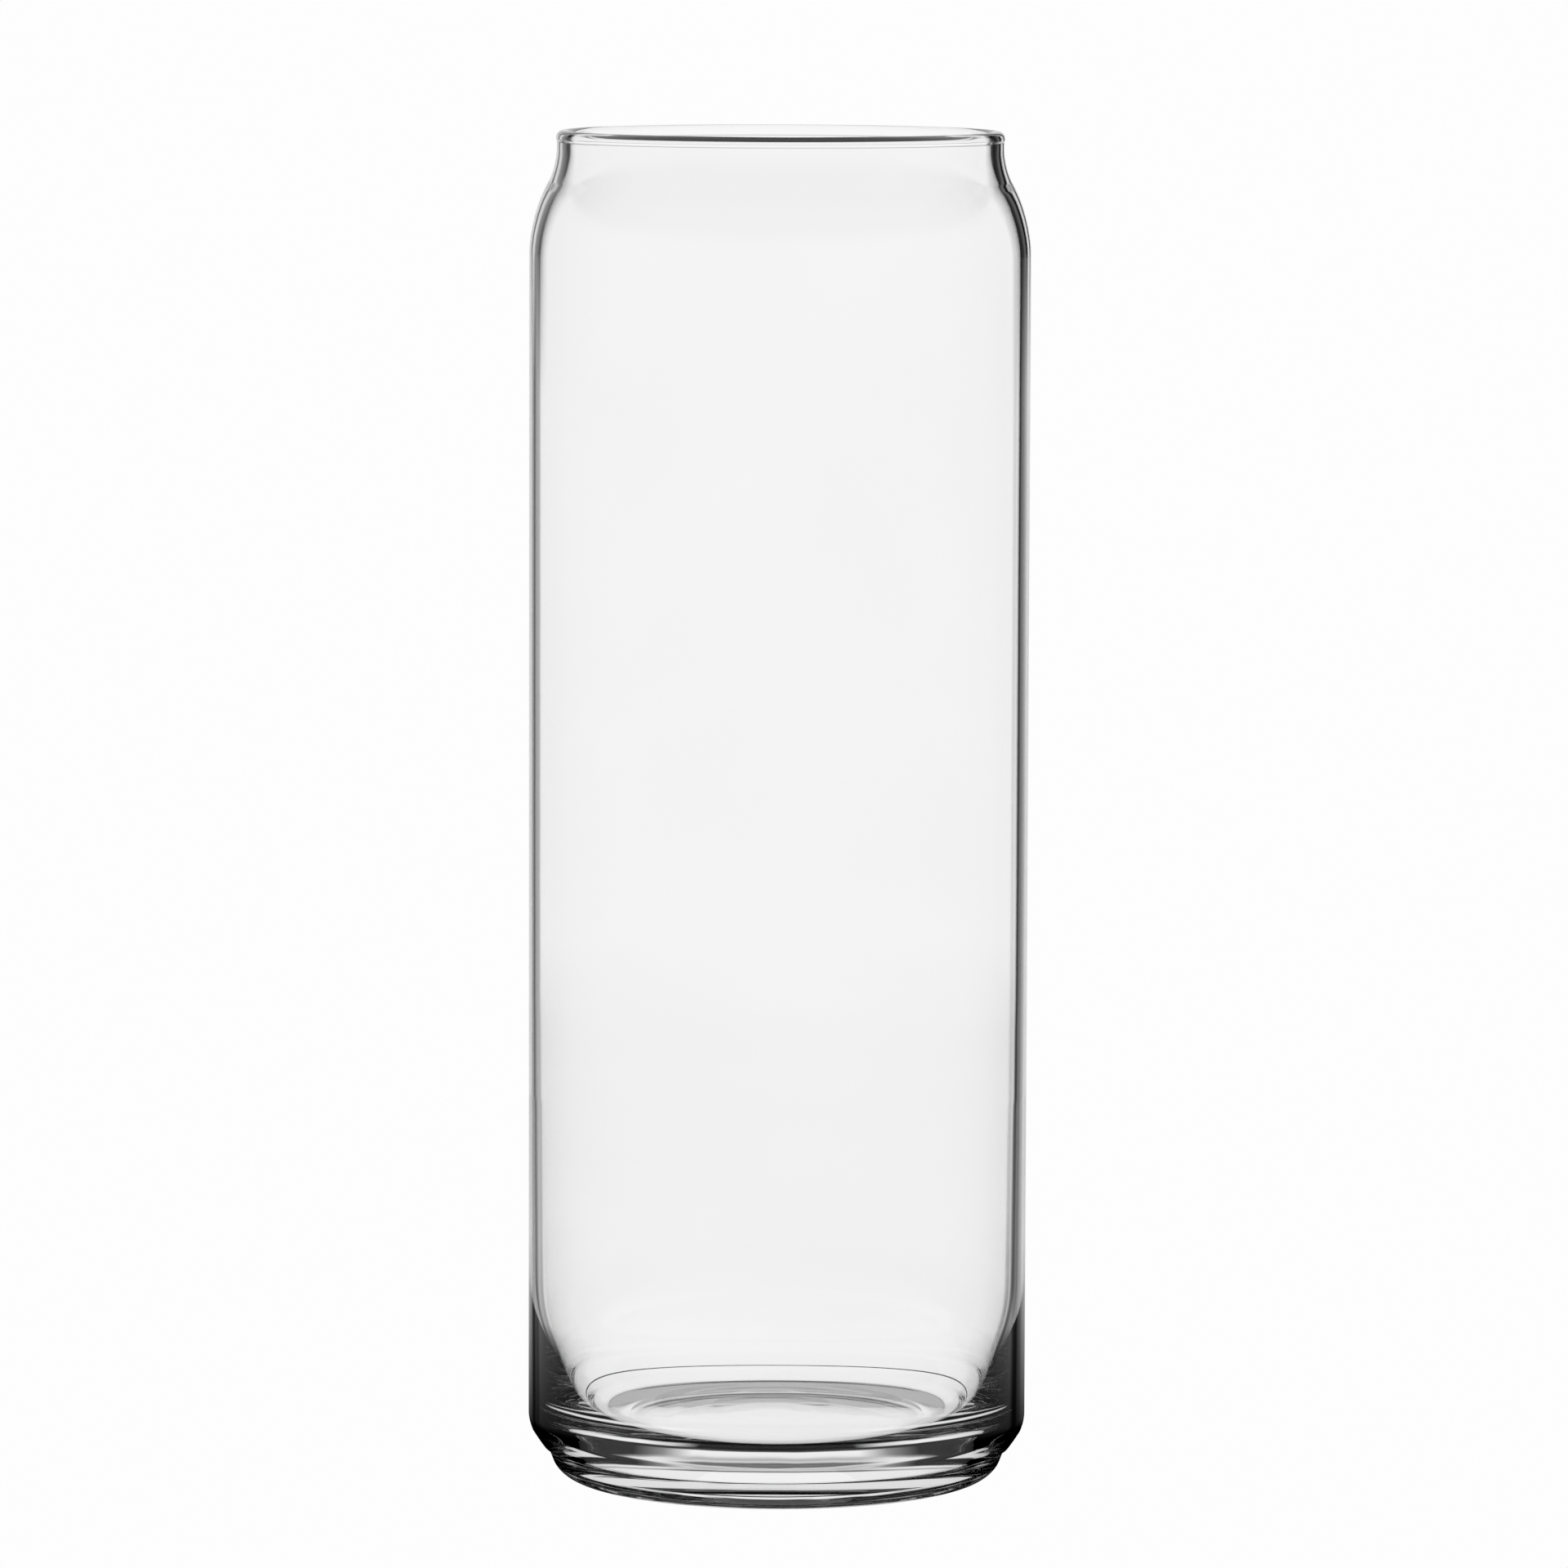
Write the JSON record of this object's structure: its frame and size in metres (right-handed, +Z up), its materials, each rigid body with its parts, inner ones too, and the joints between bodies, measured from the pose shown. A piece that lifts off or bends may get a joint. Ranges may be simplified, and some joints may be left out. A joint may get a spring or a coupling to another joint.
{
  "type": "can-shaped drinking glass",
  "caption": "Tall clear drinking glass shaped like a drinks can, with a drawn-in neck, sloping shoulder, straight body, thick rounded base and a stepped foot.",
  "frame": {"origin": "middle of the flat ring that the glass stands on, in the table plane", "axes": "+Z up the glass's axis towards its rim; the glass is turned about Z, so X and Y are free"},
  "size_m": [0.066, 0.066, 0.1786],
  "materials": {
    "clear_glass": "clear colourless glass, fire-polished, smooth inside and out"
  },
  "bodies": {
    "root": {"glass": "clear_glass"}
  },
  "joints": []
}
